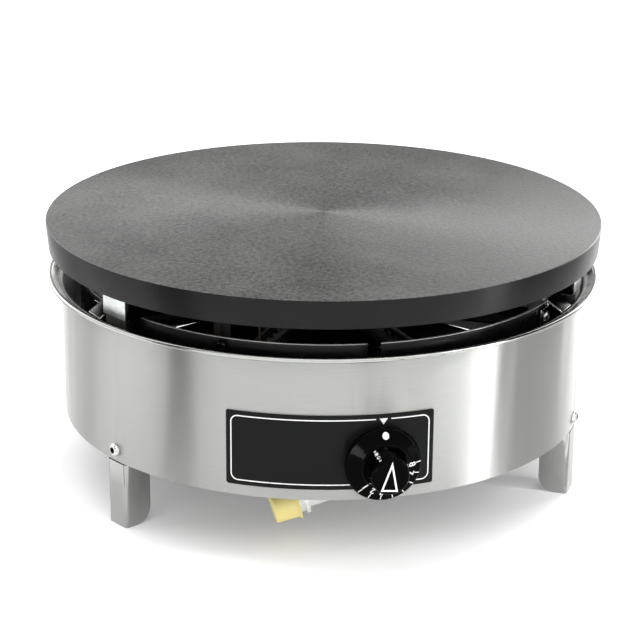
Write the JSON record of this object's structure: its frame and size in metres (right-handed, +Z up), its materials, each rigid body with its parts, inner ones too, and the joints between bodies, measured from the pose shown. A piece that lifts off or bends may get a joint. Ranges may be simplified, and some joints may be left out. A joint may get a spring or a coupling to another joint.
{
  "type": "gas crepe maker",
  "caption": "Round gas crepe maker: cast-iron griddle plate over a star burner, in a low brushed-steel body on folded sheet legs, with a push-and-turn thermostat knob on a black label.",
  "frame": {"origin": "centre of the cooking surface, on the griddle plate's top face", "axes": "+Z up out of the cooking surface, the knob's side faces -Y, +X to the right of a user who stands in front of the knob"},
  "size_m": [0.3999, 0.4206, 0.191],
  "materials": {
    "griddle_iron": "cast iron, finely turned on top",
    "body_steel": "brushed round the wall",
    "label_black": "printed film, satin",
    "galvanised": "galvanised steel sheet with a fine spangle",
    "zinc": "zinc-plated steel",
    "black_enamel": "glossy black enamel on steel, bare along its top edge",
    "leg_steel": "brushed along its length",
    "plain_steel": "plain sheet and tube",
    "burner_iron": "as cast",
    "brass": "turned",
    "valve_aluminium": "die cast",
    "knob_plastic": "glossy black with a white scale",
    "inlet_steel": "nickel plated",
    "cap_yellow": "soft pale yellow plastic",
    "copper": "drawn copper",
    "shield_steel": "pressed sheet"
  },
  "bodies": {
    "stove": {"body_shell": "body_steel", "front_label": "label_black", "plate_rest_left": "galvanised", "plate_rest_right": "galvanised", "plate_rest_rear": "galvanised", "rest_screws": "zinc", "rest_nuts": "zinc", "combustion_ring": "black_enamel", "ring_hanger_left": "galvanised", "ring_hanger_right": "galvanised", "ring_hanger_rear": "galvanised", "hanger_screws": "zinc", "hanger_nuts": "zinc", "leg_left": "leg_steel", "leg_right": "leg_steel", "leg_rear": "leg_steel", "leg_screws": "zinc", "leg_nuts": "zinc", "burner_spider": "plain_steel", "spider_screws": "zinc", "spider_nuts": "zinc", "burner_hub": "burner_iron", "burner_arms": "plain_steel", "burner_screws": "zinc", "venturi": "burner_iron", "shutter_ring": "zinc", "injector": "brass", "injector_holder": "brass", "outlet_nut": "brass", "valve_body": "valve_aluminium", "valve_bonnet": "valve_aluminium", "bonnet_screws": "zinc", "valve_screws": "zinc", "spindle_spring": "zinc", "inlet_elbow": "inlet_steel", "inlet_nut": "brass", "pilot_bracket": "galvanised", "pilot_burner": "brass", "pilot_tube": "brass", "thermocouple": "brass", "thermocouple_lead": "copper", "thermostat_bulb": "copper", "bulb_bracket": "galvanised", "bracket_rivets": "zinc", "capillary": "copper", "heat_shield": "shield_steel"},
    "griddle": {"griddle_plate": "griddle_iron"},
    "push_washer": {"thrust_washer": "zinc"},
    "knob": {"knob_cap": "knob_plastic", "knob_insert": "brass", "valve_spindle": "brass"},
    "cap": {"inlet_cap": "cap_yellow"},
    "shutter": {"air_shutter": "plain_steel"}
  },
  "joints": [
    {"name": "griddle_lift", "type": "slide", "parent": "stove", "child": "griddle", "axis": [0, 0, 1], "range_m": [0, 0.08]},
    {"name": "knob_press", "type": "slide", "parent": "stove", "child": "push_washer", "axis": [0, 1, 0], "range_m": [0, 0.005], "stiffness_N_per_m": 600, "springref_m": -0.006, "deforming": ["spindle_spring"]},
    {"name": "knob_turn", "type": "hinge", "parent": "push_washer", "child": "knob", "pos_m": [0, -0.19, -0.1145], "axis": [0, 1, 0], "range_deg": [0, 275]},
    {"name": "inlet_cap_pull", "type": "slide", "parent": "stove", "child": "cap", "axis": [-0.9659, 0, -0.2588], "range_m": [0, 0.04]},
    {"name": "air_shutter_turn", "type": "hinge", "parent": "stove", "child": "shutter", "pos_m": [0, -0.08, -0.106], "axis": [0, 1, 0], "range_deg": [-30, 30]}
  ]
}
